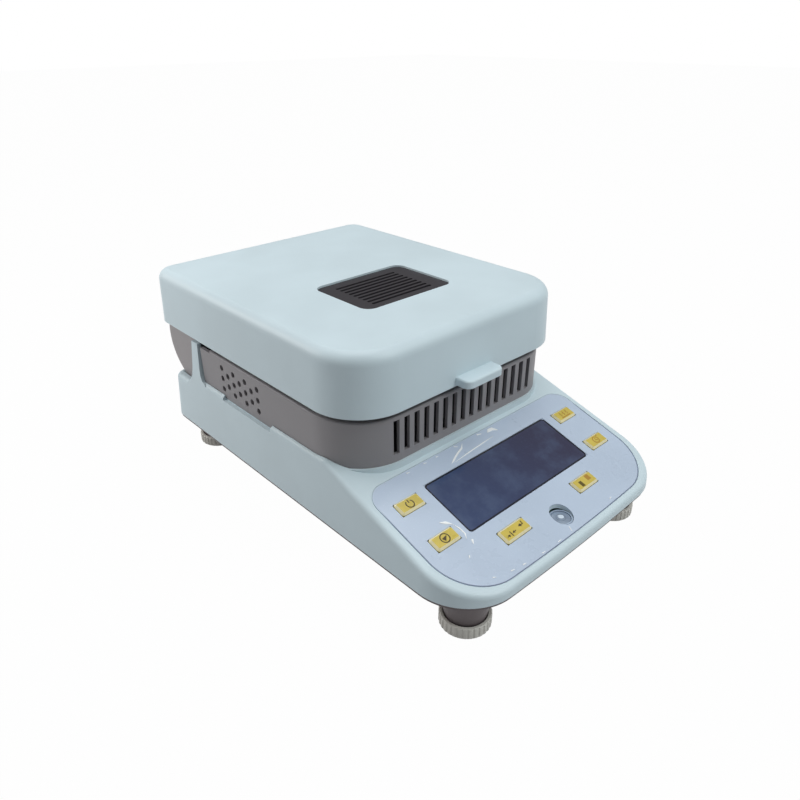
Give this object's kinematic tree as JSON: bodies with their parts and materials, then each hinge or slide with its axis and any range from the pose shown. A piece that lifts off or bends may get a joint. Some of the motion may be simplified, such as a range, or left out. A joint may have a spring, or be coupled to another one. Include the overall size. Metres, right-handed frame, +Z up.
{
  "type": "moisture analyzer",
  "caption": "Bench halogen moisture analyzer with a hinged heating lid, slotted chamber collar, sloping keypad with a wide display, and levelling feet.",
  "frame": {"origin": "middle of the footprint, on the surface that the feet stand on", "axes": "+Z up, +Y from the keypad to the rear connectors, +X to the operator's right"},
  "size_m": [0.205, 0.329, 0.1465],
  "materials": {
    "housing_white": "fine satin moulding",
    "collar_grey": "satin moulding",
    "base_dark": "matt moulding",
    "label_film": "satin printed film",
    "display_film": "dark tinted window",
    "lcd_frame": "black",
    "lcd_glass": "clear",
    "circuit_board": "green laminate",
    "switch_black": "black",
    "key_gold": "gold, semi-gloss",
    "level_cup": "grey",
    "level_glass": "clear",
    "bumper_rubber": "black rubber",
    "chamber_steel": "brushed",
    "pan_aluminium": "drawn, bright",
    "cell_aluminium": "milled",
    "core_steel": "varnished laminations",
    "coil_wrap": "taped winding",
    "port_steel": "bright plated",
    "bracket_zinc": "zinc plated",
    "screw_steel": "plated",
    "insert_brass": "turned",
    "grille_dark": "dark aubergine, matt",
    "pane_glass": "clear",
    "reflector_bright": "polished",
    "lamp_quartz": "clear quartz",
    "socket_ceramic": "unglazed ceramic",
    "wheel_grey": "knurled moulding"
  },
  "bodies": {
    "housing": {"base_housing": "housing_white", "bottom_plate": "base_dark", "foot_inserts": "insert_brass", "base_screws": "screw_steel", "keypad_label": "label_film", "display_window": "display_film", "lcd_module": "lcd_frame", "lcd_glass": "lcd_glass", "keypad_board": "circuit_board", "key_switches": "switch_black", "bubble_level": "level_cup", "level_glass": "level_glass", "chamber_collar": "collar_grey", "lid_buffers": "bumper_rubber", "chamber_floor": "chamber_steel", "chamber_liner": "chamber_steel", "draft_shield": "chamber_steel", "weighing_cell": "cell_aluminium", "main_board": "circuit_board", "transformer_core": "core_steel", "transformer_coil": "coil_wrap", "fan_frame": "switch_black", "power_inlet": "switch_black", "switch_frame": "switch_black", "serial_port": "port_steel", "hinge_brackets": "bracket_zinc", "hinge_pins": "screw_steel"},
    "lid": {"lid_shell": "housing_white", "lid_grille": "grille_dark", "lid_liner": "collar_grey", "lid_screws": "screw_steel", "glass_pane": "pane_glass", "glass_ring": "chamber_steel", "reflector": "reflector_bright", "halogen_lamp": "lamp_quartz", "lamp_sockets": "socket_ceramic", "heat_shield": "chamber_steel", "temp_sensor": "chamber_steel"},
    "weigh_stage": {"cell_spigot": "chamber_steel", "pan_support": "chamber_steel"},
    "pan": {"sample_pan": "pan_aluminium"},
    "lifter": {"pan_lifter": "chamber_steel"},
    "fan": {"fan_rotor": "switch_black"},
    "rocker": {"power_rocker": "switch_black"},
    "key_power": {"key_power": "key_gold"},
    "key_print": {"key_print": "key_gold"},
    "key_tare": {"key_tare": "key_gold"},
    "key_mode": {"key_mode": "key_gold"},
    "key_heat": {"key_heat": "key_gold"},
    "key_time": {"key_time": "key_gold"},
    "pad_front_left": {"foot_pad_front_left": "bumper_rubber"},
    "wheel_front_left": {"foot_wheel_front_left": "wheel_grey"},
    "pad_front_right": {"foot_pad_front_right": "bumper_rubber"},
    "wheel_front_right": {"foot_wheel_front_right": "wheel_grey"},
    "pad_rear_left": {"foot_pad_rear_left": "bumper_rubber"},
    "wheel_rear_left": {"foot_wheel_rear_left": "wheel_grey"},
    "pad_rear_right": {"foot_pad_rear_right": "bumper_rubber"},
    "wheel_rear_right": {"foot_wheel_rear_right": "wheel_grey"}
  },
  "joints": [
    {"name": "lid_hinge", "type": "hinge", "parent": "housing", "child": "lid", "pos_m": [0, 0.128, 0.093], "axis": [-1, 0, 0], "range_deg": [0, 70]},
    {"name": "weigh_travel", "type": "slide", "parent": "housing", "child": "weigh_stage", "axis": [0, 0, 1], "range_m": [-0.0004, 0], "stiffness_N_per_m": 3000, "springref_m": 0.0004},
    {"name": "pan_lift", "type": "slide", "parent": "weigh_stage", "child": "pan", "axis": [0, 0, 1], "range_m": [0, 0.008]},
    {"name": "lifter_lift", "type": "slide", "parent": "housing", "child": "lifter", "axis": [0, 0, 1], "range_m": [0, 0.008]},
    {"name": "fan_spin", "type": "hinge", "parent": "housing", "child": "fan", "pos_m": [-0.058, 0.1425, 0.0445], "axis": [0, 1, 0], "continuous": true},
    {"name": "rocker_tilt", "type": "hinge", "parent": "housing", "child": "rocker", "pos_m": [0.024, 0.1502, 0.0455], "axis": [0, 0, 1], "range_deg": [-18, 0]},
    {"name": "key_power_press", "type": "slide", "parent": "housing", "child": "key_power", "axis": [0, 0.2957, -0.9553], "range_m": [0, 0.0008], "stiffness_N_per_m": 1500},
    {"name": "key_print_press", "type": "slide", "parent": "housing", "child": "key_print", "axis": [0, 0.2957, -0.9553], "range_m": [0, 0.0008], "stiffness_N_per_m": 1500},
    {"name": "key_tare_press", "type": "slide", "parent": "housing", "child": "key_tare", "axis": [0, 0.2957, -0.9553], "range_m": [0, 0.0008], "stiffness_N_per_m": 1500},
    {"name": "key_mode_press", "type": "slide", "parent": "housing", "child": "key_mode", "axis": [0, 0.2957, -0.9553], "range_m": [0, 0.0008], "stiffness_N_per_m": 1500},
    {"name": "key_heat_press", "type": "slide", "parent": "housing", "child": "key_heat", "axis": [0, 0.2957, -0.9553], "range_m": [0, 0.0008], "stiffness_N_per_m": 1500},
    {"name": "key_time_press", "type": "slide", "parent": "housing", "child": "key_time", "axis": [0, 0.2957, -0.9553], "range_m": [0, 0.0008], "stiffness_N_per_m": 1500},
    {"name": "foot_slide_front_left", "type": "slide", "parent": "housing", "child": "pad_front_left", "axis": [0, 0, -1], "range_m": [0, 0.008]},
    {"name": "foot_turn_front_left", "type": "hinge", "parent": "pad_front_left", "child": "wheel_front_left", "pos_m": [-0.076, -0.139, 0.005], "axis": [0, 0, 1], "range_deg": [0, 2300]},
    {"name": "foot_slide_front_right", "type": "slide", "parent": "housing", "child": "pad_front_right", "axis": [0, 0, -1], "range_m": [0, 0.008]},
    {"name": "foot_turn_front_right", "type": "hinge", "parent": "pad_front_right", "child": "wheel_front_right", "pos_m": [0.076, -0.139, 0.005], "axis": [0, 0, 1], "range_deg": [0, 2300]},
    {"name": "foot_slide_rear_left", "type": "slide", "parent": "housing", "child": "pad_rear_left", "axis": [0, 0, -1], "range_m": [0, 0.008]},
    {"name": "foot_turn_rear_left", "type": "hinge", "parent": "pad_rear_left", "child": "wheel_rear_left", "pos_m": [-0.076, 0.137, 0.005], "axis": [0, 0, 1], "range_deg": [0, 2300]},
    {"name": "foot_slide_rear_right", "type": "slide", "parent": "housing", "child": "pad_rear_right", "axis": [0, 0, -1], "range_m": [0, 0.008]},
    {"name": "foot_turn_rear_right", "type": "hinge", "parent": "pad_rear_right", "child": "wheel_rear_right", "pos_m": [0.076, 0.137, 0.005], "axis": [0, 0, 1], "range_deg": [0, 2300]}
  ],
  "couplings": [
    {"joint": "pan_lift", "follows": "lifter_lift", "ratio": 1},
    {"joint": "foot_slide_front_left", "follows": "foot_turn_front_left", "m_per_rad": 0.00019894},
    {"joint": "foot_slide_front_right", "follows": "foot_turn_front_right", "m_per_rad": 0.00019894},
    {"joint": "foot_slide_rear_left", "follows": "foot_turn_rear_left", "m_per_rad": 0.00019894},
    {"joint": "foot_slide_rear_right", "follows": "foot_turn_rear_right", "m_per_rad": 0.00019894}
  ]
}
